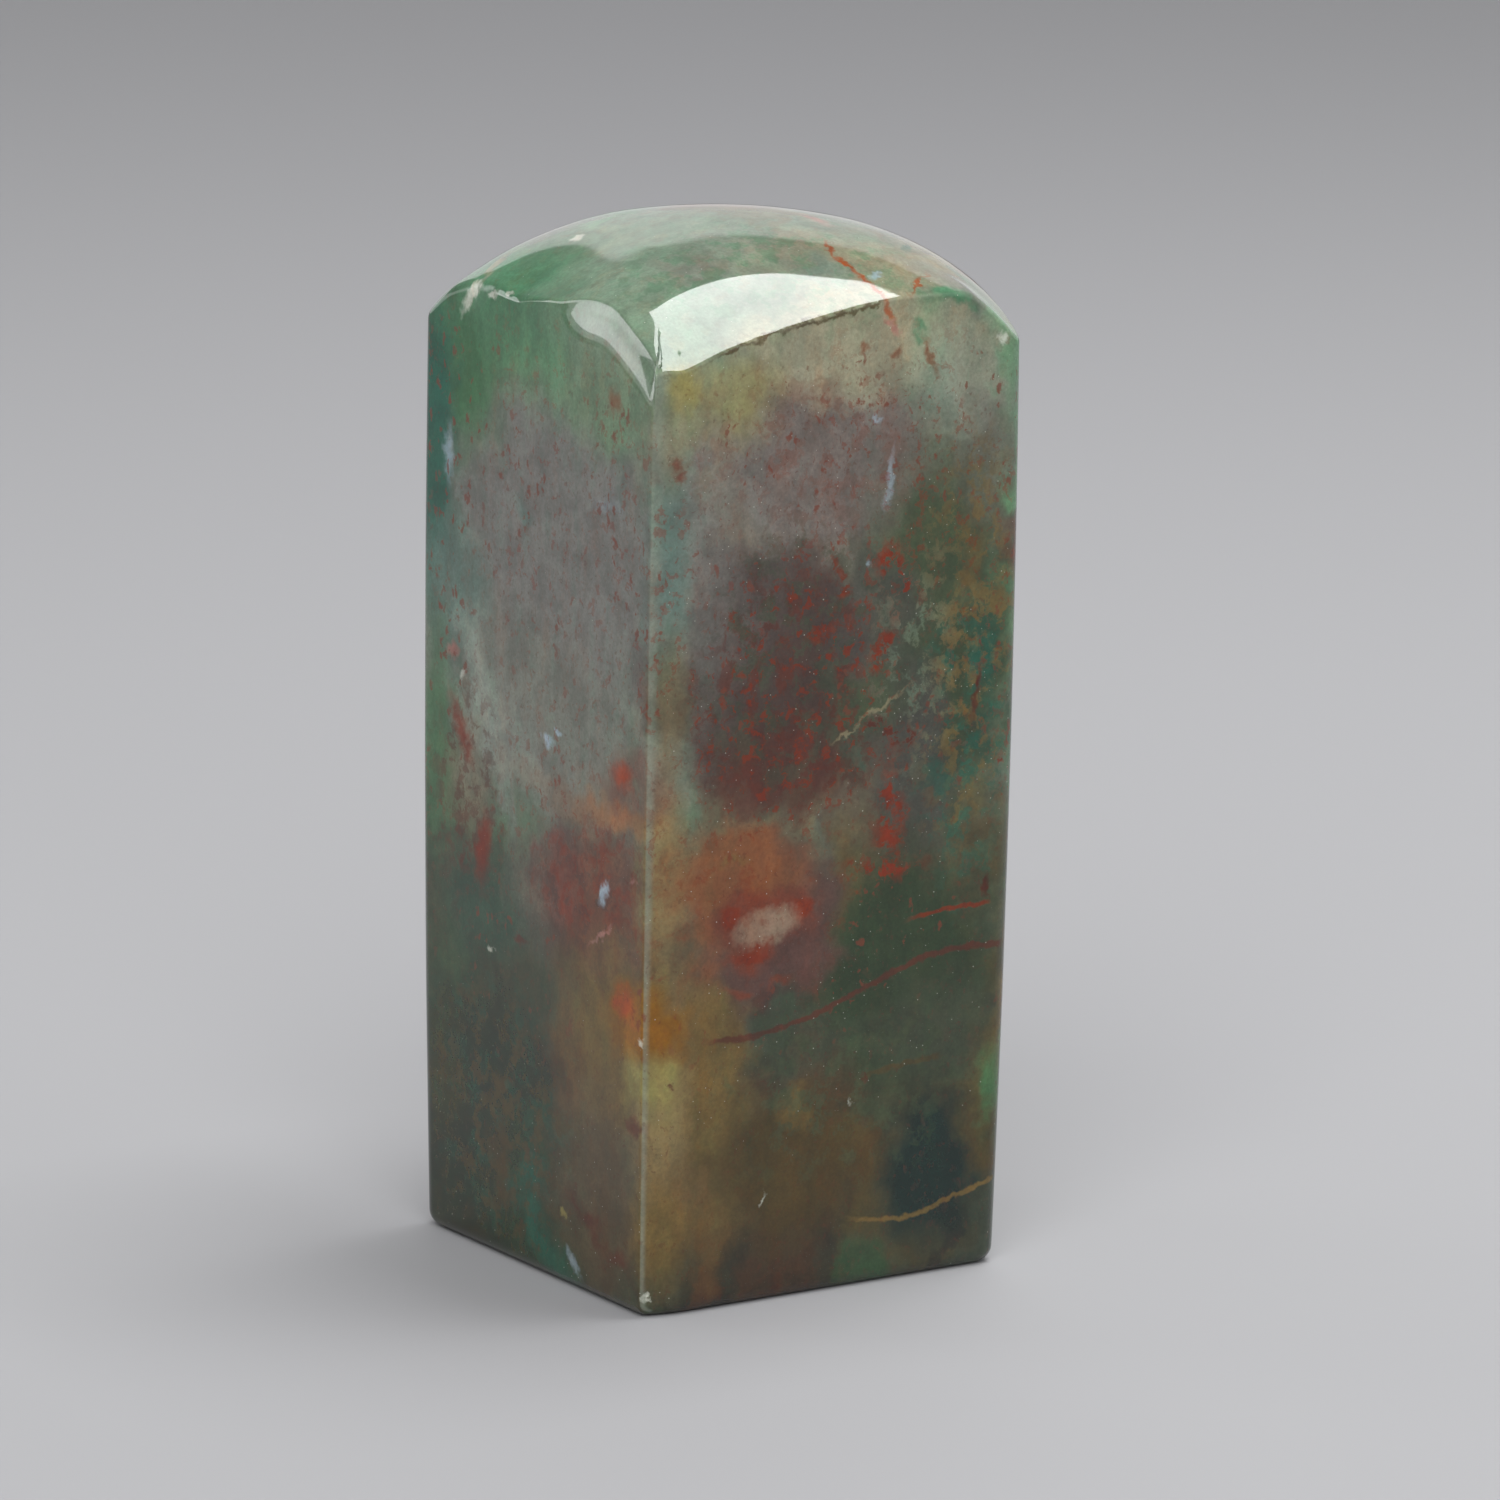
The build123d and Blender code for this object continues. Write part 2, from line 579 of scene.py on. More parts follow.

# %% [markdown]
# ## The stone's colours
# Bloodstone is green and grey quartz with red iron spots. Its colours are named here once, as the share of
# light that each mineral gives back. A photograph would do as a guide to them, but not as their source: what
# a camera sees is the mineral's colour and the shine over it, so the shine was taken off.

# %% Palette
palette = {
    "emerald": (0.115, 0.230, 0.130),
    "leaf green": (0.050, 0.118, 0.058),
    "sea green": (0.070, 0.150, 0.088),
    "jade grey": (0.110, 0.150, 0.108),
    "jade": (0.134, 0.186, 0.132),
    "moss": (0.125, 0.180, 0.115),
    "deep green": (0.010, 0.018, 0.008),
    "forest": (0.020, 0.034, 0.016),
    "teal": (0.016, 0.078, 0.054),
    "cyan grey": (0.100, 0.145, 0.125),
    "lilac grey": (0.138, 0.136, 0.124),
    "taupe": (0.140, 0.144, 0.122),
    "warm grey": (0.125, 0.108, 0.096),
    "pale jade": (0.175, 0.195, 0.160),
    "smoke": (0.036, 0.041, 0.023),
    "khaki": (0.118, 0.082, 0.034),
    "umber": (0.076, 0.058, 0.034),
    "olive brown": (0.052, 0.036, 0.014),
    "olive": (0.026, 0.028, 0.007),
    "sand": (0.180, 0.140, 0.074),
    "straw": (0.230, 0.205, 0.086),
    "stone yellow": (0.200, 0.180, 0.115),
    "wheat": (0.265, 0.245, 0.160),
    "amber": (0.200, 0.092, 0.024),
    "peach": (0.240, 0.134, 0.078),
    "rust": (0.150, 0.053, 0.028),
    "scarlet": (0.330, 0.055, 0.026),
    "vermilion": (0.210, 0.072, 0.040),
    "blood": (0.055, 0.011, 0.007),
    "maroon": (0.042, 0.027, 0.022),
    "slate": (0.044, 0.044, 0.037),
    "dark moss": (0.040, 0.055, 0.028),
    "sage": (0.034, 0.043, 0.026),
    "plum": (0.074, 0.041, 0.034),
    "salmon": (0.165, 0.076, 0.042),
    "oat": (0.200, 0.150, 0.112),
    "iron red": (0.150, 0.034, 0.022),
    "brick": (0.072, 0.024, 0.017),
    "wine": (0.130, 0.044, 0.030),
    "rose": (0.280, 0.150, 0.130),
    "frost": (0.300, 0.370, 0.420),
    "milk": (0.480, 0.490, 0.430),
    "mist": (0.260, 0.290, 0.250),
    "blue black": (0.004, 0.014, 0.011),
}
print(f"{len(palette)} colours in the palette.")

# %% [markdown]
# ## Nodes by short calls
# Every node of the stone is made with one call, which names the kind, what goes into each socket and any
# settings. Colours that never change are written on the socket itself.

# %% Node helpers
stone_finish = bpy.data.materials.new("polished_bloodstone")
stone_finish.use_nodes = True
tree = stone_finish.node_tree
shader = tree.nodes["Principled BSDF"]


def add(kind, inputs=None, **settings):
    """Add a node. inputs maps a socket's name or number to a value or to the socket to link from."""
    new = tree.nodes.new("ShaderNode" + kind)
    for setting, value in settings.items():
        setattr(new, setting, value)
    for socket, value in (inputs or {}).items():
        if isinstance(value, bpy.types.NodeSocket):
            tree.links.new(value, new.inputs[socket])
        else:
            new.inputs[socket].default_value = value
    return new


def calculate(operation, first, second=0.0, third=0.0):
    """One step of arithmetic on numbers."""
    return add("Math", {0: first, 1: second, 2: third}, operation=operation).outputs[0]


def mixed(factor, under, over, blend="MIX"):
    """Lay one colour over another. Each is a palette name, a colour or a socket."""
    values = {0: factor}
    for socket, colour in ((6, under), (7, over)):
        values[socket] = (*palette[colour], 1) if isinstance(colour, str) else colour
    return add("Mix", values, data_type="RGBA", blend_type=blend, clamp_factor=True).outputs[2]


def stepped(value, low, high, bottom=0.0, top=1.0):
    """A smooth step: bottom where value is under low, top where it is over high."""
    inputs = {0: value, 1: low, 2: high, 3: bottom, 4: top}
    return add("MapRange", inputs, interpolation_type="SMOOTHSTEP").outputs[0]


def noise(vector, scale, detail=3.0, roughness=0.55, distortion=0.0):
    """A cloudy noise. scale is how many lumps it has in a millimetre."""
    inputs = {"Vector": vector, "Scale": scale, "Detail": detail, "Roughness": roughness}
    return add("TexNoise", {**inputs, "Distortion": distortion})


def vector_sum(first, second, operation="ADD"):
    """One step of arithmetic on places, a sum unless the operation says otherwise."""
    return add("VectorMath", {0: first, 1: second}, operation=operation).outputs[0]


print(f"The material {stone_finish.name} starts with {len(tree.nodes)} nodes.")

# %% [markdown]
# ## Points inside the stone
# The pattern of a natural stone runs through it, so it is a function of the place in millimetres, not of the
# surface. Two warped copies of the place give ragged outlines: a loose one for wide zones, a tight one for
# spots. A third is squeezed upwards, because this stone's grain stands upright.

# %% Places
object_place = add("TexCoord").outputs["Object"]
place_mm = vector_sum(object_place, (1000, 1000, 1000), "MULTIPLY")


def warped(scale, reach, detail):
    """The place in millimetres, moved about by up to half the reach."""
    shift = vector_sum(noise(place_mm, scale, detail).outputs["Color"], (0.5, 0.5, 0.5), "SUBTRACT")
    return vector_sum(place_mm, vector_sum(shift, (reach, reach, reach), "MULTIPLY"))


loose_place = warped(0.32, 5.0, 4.0)
tight_place = warped(1.5, 1.2, 3.0)
upright_place = vector_sum(loose_place, (1.0, 1.0, 0.42), "MULTIPLY")
print(f"The places take {len(tree.nodes)} nodes.")

# %% [markdown]
# ## The body of the stone
# Where the photograph shows nothing, the back, the far sides and the underside carry the same minerals in
# the same proportions: grey and jade above, brown and maroon half way, and dark green towards the foot, which
# is partly painted shade.

# %% Body colours
height_share = add("SeparateXYZ", {0: loose_place}).outputs[2]
zone_noise = noise(upright_place, 0.085, 3.0, 0.5, 0.6).outputs[0]
red_noise = noise(vector_sum(upright_place, (31, 7, 0)), 0.11, 3.0, 0.5, 0.8).outputs[0]
pale_noise = noise(vector_sum(upright_place, (5, 47, 11)), 0.14, 2.0).outputs[0]
lower_zone = stepped(height_share, 36.0, 20.0)
body = mixed(stepped(zone_noise, 0.40, 0.56), "jade", "taupe")
body = mixed(stepped(zone_noise, 0.47, 0.36), body, "emerald")
body = mixed(stepped(pale_noise, 0.54, 0.66), body, "stone yellow")
body = mixed(calculate("MULTIPLY", lower_zone, 0.75), body, "sage")
body = mixed(calculate("MULTIPLY", stepped(zone_noise, 0.50, 0.62), lower_zone), body, "khaki")
maroon_share = stepped(red_noise, 0.50, 0.60)
maroon_share = calculate("MULTIPLY", maroon_share, stepped(height_share, 54.0, 38.0))
body = mixed(maroon_share, body, "maroon")
body = mixed(calculate("MULTIPLY", stepped(red_noise, 0.58, 0.66), 0.8), body, "wine")
body = mixed(calculate("MULTIPLY", stepped(red_noise, 0.66, 0.72), 0.9), body, "salmon")
body = mixed(calculate("MULTIPLY", stepped(pale_noise, 0.42, 0.32), 0.8), body, "leaf green")
# Partly painted shade: the colour turns deep green towards the foot.
body = mixed(calculate("MULTIPLY", stepped(height_share, 16.0, 3.0), 0.6), body, "deep green")
print(f"The body takes {len(tree.nodes)} nodes.")

# %% [markdown]
# ## Patches
# On the two faces and the crown that the photograph shows, each patch of mineral is an ellipsoid, given one
# by one: its colour, the pixel of its middle, half its width and height in pixels, its tilt in degrees, and
# how soft its border is. The pixel's ray meets the skin, and the ellipse as seen becomes an ellipse on the
# skin, which also reaches into the stone, so that it wraps round an edge like a real one. An upright ellipse
# on a side needs no turning, which saves a node. Every other one is turned to its own axes first.

# %% Patch of mineral
crown_slope = 0.5
least_half = 0.05
least_depth = 0.3


def patch_mask(pixel, half_width, half_height, tilt=0.0, softness=0.6, strength=1.0, tight=False):
    """How much of a patch's mineral there is at each place: strength in its middle, and 0 outside."""
    place, normal = surface_at(pixel)
    steps = []
    for step in ((1, 0), (0, 1)):
        ray = pixel_ray((pixel[0] + step[0], pixel[1] + step[1]))
        reach = (place - camera_place) @ normal / (ray @ normal)
        steps.append(camera_place + reach * ray - place)
    start = tight_place if tight else loose_place
    unturned = tilt == 0 and normal[2] < crown_slope
    if unturned:
        side = int(np.argmin(np.abs(normal)[:2]))
        sizes = np.full(3, float(min(half_width * abs(steps[0][side]), half_height * abs(steps[1][2]))))
        sizes[side] = half_width * abs(steps[0][side])
        sizes[2] = half_height * abs(steps[1][2])
    else:
        angle = math.radians(tilt)
        first = half_width * (math.cos(angle) * steps[0] + math.sin(angle) * steps[1])
        second = half_height * (math.cos(angle) * steps[1] - math.sin(angle) * steps[0])
        axes, sizes, _ = np.linalg.svd(np.column_stack([first, second]), full_matrices=False)
        turn = np.column_stack([axes, np.cross(axes[:, 0], axes[:, 1])])
        sizes = np.array([sizes[0], sizes[1], sizes[1]])
        angles = tuple(Matrix(turn.tolist()).to_euler())
        inputs = {"Vector": start, "Center": tuple(place), "Rotation": angles}
        start = add("VectorRotate", inputs, rotation_type="EULER_XYZ", invert=True).outputs[0]
    sizes = np.maximum(sizes, least_half if unturned else [0, 0, least_depth])
    inputs = {0: start, 1: tuple(1 / sizes), 2: tuple(-place / sizes)}
    local = add("VectorMath", inputs, operation="MULTIPLY_ADD").outputs[0]
    away = add("VectorMath", {0: local}, operation="LENGTH").outputs["Value"]
    return stepped(away, 1 + softness, 1 - softness, 0.0, strength)


def lay_patches(under, patches, **settings):
    """Lay a table of patches over a colour, in their order."""
    for colour, *rest in patches.values():
        under = mixed(patch_mask(*rest, **settings), under, colour)
    return under


pixel_size = np.linalg.norm(camera_place) / focal_pixels
print(f"A pixel of the photograph covers about {pixel_size:.3f} mm of the stone.")

# %% [markdown]
# The wide zones come first. The right face is grey above, with a maroon cloud half way, and dark green below,
# near black at the foot, partly as painted shade.

# %% Zones of the right face
right_zones = {
    "grey middle, right": ("warm grey", (830, 460), 130, 100, 0, 0.5),
    "yellow top": ("wheat", (850, 350), 120, 46, -6, 0.6, 0.9),
    "haze at the top": ("mist", (860, 352), 110, 42, -6, 0.7, 0.22),
    "straw corner": ("straw", (724, 395), 48, 40, 0, 0.7, 0.8),
    "top of the strip": ("pale jade", (965, 385), 45, 55, 0, 0.6, 0.7),
    "grey of the strip": ("warm grey", (985, 480), 30, 75, 0, 0.6, 0.8),
    "green grey right": ("dark moss", (935, 640), 80, 180, 0, 0.4),
    "slate patch": ("slate", (912, 770), 50, 105, 0, 0.5, 0.9),
    "maroon zone": ("maroon", (772, 680), 96, 138, 0, 0.2),
    "maroon zone, corner": ("maroon", (724, 592), 36, 52, 0, 0.2, 0.9),
    "maroon zone, left": ("maroon", (726, 660), 34, 96, 0, 0.3, 0.85),
    "maroon zone, right": ("slate", (876, 612), 46, 62, 0, 0.4, 0.7),
    "dark strip": ("forest", (968, 700), 24, 120, 0, 0.6, 0.8),
    "strip's lower end": ("olive brown", (985, 850), 26, 60, 0, 0.6, 0.8),
    "brick shade": ("brick", (780, 775), 75, 50, 0, 0.6, 0.6),
    "green lens": ("dark moss", (862, 708), 34, 34, 0, 0.6, 0.9),
    "dark lower right": ("forest", (900, 980), 100, 130, 0, 0.4),
    "sage lower right": ("sage", (935, 1030), 60, 50, 0, 0.6),
    "sage below the eye": ("sage", (770, 1050), 90, 34, 0, 0.6, 0.8),
    "brown lower left": ("khaki", (712, 1060), 34, 90, 0, 0.6, 0.9),
    "khaki lower left": ("khaki", (704, 1180), 30, 80, 0, 0.6, 0.75),
    "olive foot": ("olive brown", (795, 1160), 75, 75, 0, 0.5),
    # Partly painted shade: the foot of the right face is made near black.
    "blue black foot": ("blue black", (930, 1165), 52, 70, 0, 0.5),
    "olive corner": ("olive brown", (986, 1140), 15, 42, 0, 0.6, 0.9),
    "bright green corner": ("leaf green", (992, 1078), 12, 24, 0, 0.6, 0.8),
}
colour_now = lay_patches(body, right_zones)
print(f"{len(right_zones)} zones are laid on the right face.")

# %% [markdown]
# The left face is emerald at its shoulder, with a painted highlight under its rolled top edge, grey and taupe
# in the middle and near black below, partly as painted shade, with khaki and brown along the front edge.

# %% Zones of the left face
left_zones = {
    "grey middle": ("lilac grey", (550, 530), 110, 190, 0, 0.5),
    "taupe below it": ("taupe", (545, 720), 95, 95, 0, 0.6),
    "mauve shade": ("lilac grey", (600, 570), 60, 90, 0, 0.7, 0.7),
    "emerald shoulder": ("emerald", (540, 325), 105, 70, 0, 0.6, 0.9),
    "leaf green edge": ("leaf green", (462, 350), 44, 95, 0, 0.6),
    # Partly painted light: the moss under the rolled top edge is painted paler where light falls, and the
    # pale streak along that edge is a painted highlight.
    "moss by the edge": ("moss", (610, 385), 48, 62, 0, 0.6),
    "painted highlight under the top edge": ("pale jade", (612, 343), 58, 15, 40, 0.6, 0.9),
    "teal strip": ("teal", (438, 450), 20, 150, 0, 0.5, 0.95),
    "grey green edge": ("cyan grey", (452, 590), 26, 70, 0, 0.6, 0.8),
    "green edge below": ("leaf green", (436, 740), 18, 120, 0, 0.6, 0.8),
    "pale streak": ("mist", (486, 700), 12, 84, -14, 0.7, 0.6),
    "pale streak, wider end": ("mist", (508, 738), 26, 52, -15, 0.8, 0.35),
    "oat shade below it": ("oat", (545, 778), 36, 14, 20, 0.8, 0.45),
    "dark belly": ("smoke", (490, 960), 85, 115, 0, 0.4),
    "green in the belly": ("leaf green", (450, 985), 22, 60, 0, 0.7, 0.4),
    "teal in the belly": ("teal", (482, 905), 34, 44, 0, 0.7, 0.4),
    "grey in the belly": ("taupe", (540, 880), 30, 60, -8, 0.7, 0.5),
    # Partly painted shade: the dark foot and the foot behind the corner.
    "dark foot": ("deep green", (480, 1130), 95, 150, 0, 0.45),
    "foot behind the corner": ("forest", (545, 1200), 60, 90, 0, 0.5, 0.8),
    "khaki column": ("khaki", (612, 1050), 46, 110, 0, 0.5),
    "brown column": ("umber", (602, 1200), 46, 100, 0, 0.5, 0.9),
    "maroon cloud": ("wine", (590, 890), 52, 66, 0, 0.6, 0.75),
    "peach band": ("peach", (634, 818), 60, 16, 16, 0.6, 0.9),
}
colour_now = lay_patches(colour_now, left_zones)
print(f"{len(left_zones)} zones are laid on the left face.")

# %% [markdown]
# The crown is jade, greener on its left and yellower on its right, under a faint haze.

# %% Zones of the crown
crown_zones = {
    "left of the crown": ("sea green", (520, 280), 90, 50, 0, 0.7),
    "middle of the crown": ("jade", (650, 275), 90, 60, 0, 0.7),
    "front of the crown": ("jade", (650, 345), 40, 45, 0, 0.6),
    "brown shade on the crown": ("warm grey", (690, 268), 34, 20, 0, 0.7, 0.6),
    "right of the crown": ("stone yellow", (850, 262), 85, 42, 0, 0.7, 0.75),
    "crown by the right rim": ("jade grey", (760, 300), 70, 30, -12, 0.6, 0.6),
    "green tip": ("sea green", (943, 292), 26, 9, 0, 0.5),
    "back rim": ("jade", (720, 215), 160, 14, 0, 0.6, 0.6),
    "haze over the crown": ("mist", (690, 285), 200, 62, 0, 0.8, 0.15),
}
colour_now = lay_patches(colour_now, crown_zones)
print(f"{len(crown_zones)} zones are laid on the crown.")

# %% [markdown]
# The ground strip at the front lets light in, so it looks paler than the faces beside it. Its zones hold its
# own straw and khaki colours with that paleness painted in as a glow. It is narrow, so its zones follow the
# tight copy of the place.

# %% Zones of the front edge
edge_colours_and_glow = {
    "grey green edge band": ("cyan grey", (670, 570), 20, 130, 0, 0.6, 0.8),
    "straw edge top": ("straw", (682, 392), 17, 24, 0, 0.6, 0.9),
    "straw edge": ("stone yellow", (672, 440), 18, 46, 0, 0.7, 0.6),
    "brown edge": ("khaki", (670, 700), 20, 60, 0, 0.7, 0.6),
    "sand edge": ("sand", (665, 880), 24, 80, 0, 0.6, 0.9),
    "gold edge": ("sand", (662, 1120), 27, 100, 0, 0.6, 0.85),
    "foot of the edge": ("khaki", (660, 1235), 27, 50, 0, 0.6, 0.9),
}
colour_now = lay_patches(colour_now, edge_colours_and_glow, tight=True)
print(f"{len(edge_colours_and_glow)} zones are laid on the front edge.")

# %% [markdown]
# Next come the shapes that make this stone itself. The largest is the round eye on the right face, a salmon
# cloud with darker rings.

# %% Eye
eye_patches = {
    "eye": ("plum", (766, 922), 72, 82, 0, 0.22, 0.9),
    "salmon top": ("salmon", (740, 868), 62, 42, 0, 0.4, 0.95),
    "left of the eye": ("salmon", (703, 930), 20, 58, 0, 0.6, 0.8),
    "green spot in the eye": ("khaki", (732, 868), 14, 8, 0, 0.6, 0.6),
    "red ring": ("wine", (764, 925), 50, 36, -15, 0.35, 0.9),
    "plum shade": ("plum", (800, 958), 34, 32, 0, 0.5, 0.9),
    "lower lid": ("wine", (762, 992), 42, 7, -6, 0.7, 0.8),
}
colour_now = lay_patches(colour_now, eye_patches)
print(f"The eye has {len(eye_patches)} patches.")

# %% [markdown]
# An amber spot sits by the front edge, a red glow above it, and streaks of teal and brown run down the left
# face and the far side of the right one.

# %% Spots and streaks
streaks = {
    "amber halo": ("amber", (634, 1032), 26, 38, 0, 0.6, 0.9),
    "orange spot": ("scarlet", (622, 1010), 12, 17, 0, 0.6, 0.6),
    "red glow": ("wine", (630, 786), 26, 24, 0, 0.8, 0.6),
    "pale patch by the edge": ("straw", (638, 1088), 17, 28, 0, 0.6, 0.8),
    "amber patch": ("khaki", (803, 1098), 16, 28, 0, 0.5, 0.8),
    "olive edge": ("olive", (446, 1070), 15, 58, 0, 0.6, 0.9),
    "teal streak": ("teal", (538, 1195), 10, 45, -4, 0.7, 0.6),
    "teal streak below": ("teal", (552, 1255), 14, 34, -18, 0.7, 0.6),
    "brown streak": ("olive brown", (500, 1075), 11, 14, 0, 0.6, 0.9),
    "brown streak below": ("olive brown", (500, 1165), 9, 36, 0, 0.6, 0.9),
    "red brown streak": ("brick", (584, 1212), 6, 27, -30, 0.7, 0.8),
    "plum spot": ("brick", (612, 1256), 12, 10, 0, 0.7, 0.7),
    "blue shade": ("cyan grey", (520, 515), 12, 12, 0, 0.7, 0.6),
    "second blue shade": ("frost", (610, 507), 12, 10, 0, 0.9, 0.25),
    "dark teal in the strip": ("teal", (982, 690), 9, 90, 0, 0.7, 0.5),
    "olive in the strip": ("khaki", (968, 560), 12, 40, 0, 0.8, 0.7),
    "teal eye spot": ("teal", (851, 751), 10, 11, 0, 0.6, 0.7),
    "teal under the rim": ("sea green", (923, 332), 11, 9, 0, 0.6, 0.8),
    "blue grey on the crown": ("cyan grey", (820, 270), 36, 9, 12, 0.8, 0.6),
}
colour_now = lay_patches(colour_now, streaks)
print(f"{len(streaks)} spots and streaks are laid.")

# %% [markdown]
# Some places are mottled: a patch there lets a mineral through only where a fine noise is high. Two noises
# that differ are used, so that two minerals in one place don't lie on the same spots.

# %% Mottled places
mottle_noise = noise(vector_sum(tight_place, (12, 5, 40)), 0.9, 4.0, 0.65).outputs[0]
counter_noise = noise(vector_sum(tight_place, (40, 15, 2)), 0.7, 4.0, 0.65).outputs[0]
mottled = {
    "olive on the strip": ("khaki", mottle_noise, (968, 640), 44, 190, 0, 0.5, 0.75),
    "teal on the strip": ("teal", counter_noise, (965, 740), 40, 150, 0, 0.5, 0.6),
    "pale spots by the lens": ("jade grey", mottle_noise, (905, 660), 40, 90, 0, 0.6, 0.6),
    "warm spots above": ("wine", counter_noise, (800, 450), 110, 80, 0, 0.6, 0.35),
    "red in the cloud": ("iron red", mottle_noise, (590, 880), 58, 66, 0, 0.4, 0.5),
    "dark in the cloud": ("maroon", counter_noise, (585, 900), 50, 60, 0, 0.5, 0.5),
    "red in the zone": ("brick", mottle_noise, (790, 700), 92, 130, 0, 0.3, 0.75),
    "grey green in the zone": ("sage", counter_noise, (800, 660), 95, 130, 0, 0.4, 0.7),
    "red at the left edge": ("brick", mottle_noise, (470, 790), 34, 110, 0, 0.5, 0.6),
    "teal at the left foot": ("teal", counter_noise, (500, 1110), 70, 150, 0, 0.5, 0.28),
    "brown at the left foot": ("olive brown", mottle_noise, (500, 1120), 70, 130, 0, 0.5, 0.7),
    "green at the foot": ("dark moss", counter_noise, (850, 1080), 120, 90, 0, 0.5, 0.6),
    "deep red drop": ("iron red", mottle_noise, (900, 575), 16, 38, 0, 0.6, 1.2),
    "deep red drop, left": ("iron red", counter_noise, (838, 582), 16, 16, 0, 0.4, 0.8),
    "deep red drop, middle": ("iron red", mottle_noise, (825, 628), 18, 14, 0, 0.4, 0.8),
    "deep red drop, right": ("iron red", counter_noise, (888, 652), 18, 20, 0, 0.6, 1.2),
    "deep red drop, low": ("brick", mottle_noise, (893, 735), 26, 18, -20, 0.5, 1.5),
    "long red drop": ("iron red", counter_noise, (888, 812), 20, 52, 0, 0.7, 1.1),
    "red arc": ("iron red", mottle_noise, (880, 875), 38, 16, -12, 0.6, 1.2),
    "green of the crown": ("sea green", counter_noise, (760, 262), 150, 50, 0, 0.5, 0.5),
}
for colour, texture, *rest in mottled.values():
    mask = calculate("MULTIPLY", stepped(texture, 0.48, 0.60), patch_mask(*rest))
    colour_now = mixed(mask, colour_now, colour)
print(f"{len(mottled)} places are mottled.")

# %% [markdown]
# Small drops, flecks and threads have crisp, crumbly borders, so they follow the tight copy of the place.
# First come those in the eye, on the left face and on the front edge.

# %% Drops of the eye and the left face
left_drops = {
    "red by the pupil": ("iron red", (730, 918), 9, 11, 0, 0.6, 0.9),
    "red right of the pupil": ("iron red", (802, 908), 9, 9, 0, 0.6, 0.8),
    "red under the pupil": ("iron red", (750, 958), 20, 6, -10, 0.7, 0.7),
    "pupil": ("oat", (767, 926), 33, 16, -22, 0.35, 0.85),
    "red drop": ("scarlet", (622, 776), 8, 10, 0, 0.9, 0.6),
    "pink spot": ("rose", (453, 650), 5, 8, 0, 0.5, 0.9),
    "white spot": ("milk", (463, 675), 3, 5, 0, 0.5, 0.7),
    "blue white spot": ("frost", (548, 741), 5, 7, 0, 0.6, 0.8),
    "second blue white spot": ("frost", (558, 732), 3, 3, 0, 0.6, 0.8),
    "pale blue streak": ("frost", (449, 453), 4, 24, 0, 0.8, 0.6),
    "red thread": ("iron red", (461, 728), 5, 32, -15, 0.7, 0.8),
    "second red thread": ("iron red", (483, 845), 7, 30, 6, 0.6, 0.9),
    "short red thread": ("brick", (462, 860), 3, 9, 0, 0.6, 0.8),
    "lilac fleck": ("frost", (604, 893), 4, 10, 12, 0.6, 0.8),
    "second lilac fleck": ("rose", (634, 883), 4, 3, 0, 0.6, 0.6),
    "lilac thread": ("rose", (601, 935), 13, 3, -42, 0.6, 0.8),
    "white corner": ("milk", (491, 948), 4, 3, 0, 0.6, 0.6),
    "red dash": ("brick", (520, 940), 6, 4, 0, 0.7, 0.8),
    "red corner": ("brick", (635, 1128), 8, 9, 0, 0.6, 0.8),
    "brown dot": ("brick", (670, 1088), 4, 3, 0, 0.6, 0.8),
    "white dot": ("milk", (640, 1042), 2.5, 2.5, 0, 0.6, 0.7),
    "frost thread": ("frost", (573, 1262), 3, 13, -24, 0.7, 0.5),
    "pale green dot": ("straw", (564, 1212), 3, 4, 0, 0.6, 0.7),
    "red dot on the edge": ("wine", (677, 465), 7, 7, 0, 0.8, 0.8),
    "second red dot on the edge": ("wine", (681, 478), 6, 5, 0, 0.8, 0.8),
    "third red dot on the edge": ("brick", (655, 478), 4, 6, 0, 0.8, 0.7),
    "red spot by the shoulder": ("rust", (615, 402), 6, 12, 0, 0.8, 0.7),
}
colour_now = lay_patches(colour_now, left_drops, tight=True)
print(f"{len(left_drops)} drops and flecks are laid in the eye and on the left.")

# %% [markdown]
# The right face has pale blue threads, red marks under its rim, a pale line and two dark cracks.

# %% Threads of the right face
right_threads = {
    "cyan thread": ("frost", (890, 478), 3, 24, 8, 0.8, 0.5),
    "cyan dot": ("frost", (878, 420), 3, 4, 0, 0.7, 0.5),
    "blue fleck": ("frost", (870, 565), 3, 4, 0, 0.7, 0.5),
    "rose thread": ("rose", (893, 328), 9, 3, 50, 0.7, 0.8),
    "red mark under the rim": ("rust", (864, 347), 5, 5, 0, 0.7, 0.7),
    "second red mark": ("rust", (897, 353), 5, 5, 0, 0.7, 0.7),
    "red vein on the face": ("rust", (930, 356), 4, 18, -16, 0.7, 0.7),
    "pale line": ("stone yellow", (846, 735), 13, 2, -34, 0.7, 0.8),
    "pale line, right": ("stone yellow", (881, 708), 31, 2, -37, 0.7, 0.7),
    "dark crack": ("blood", (977, 692), 3, 28, 10, 0.7, 0.9),
    "dark crack below": ("blood", (985, 885), 4, 10, 0, 0.7, 0.9),
    "white fleck": ("milk", (851, 1102), 2.5, 4, 0, 0.6, 0.6),
    "white streak at the foot": ("milk", (762, 1200), 1.8, 7, 15, 0.6, 0.5),
    "red speck in the dark": ("brick", (863, 1077), 3, 4, 0, 0.6, 0.8),
}
colour_now = lay_patches(colour_now, right_threads, tight=True)
print(f"{len(right_threads)} threads and specks are laid on the right face.")
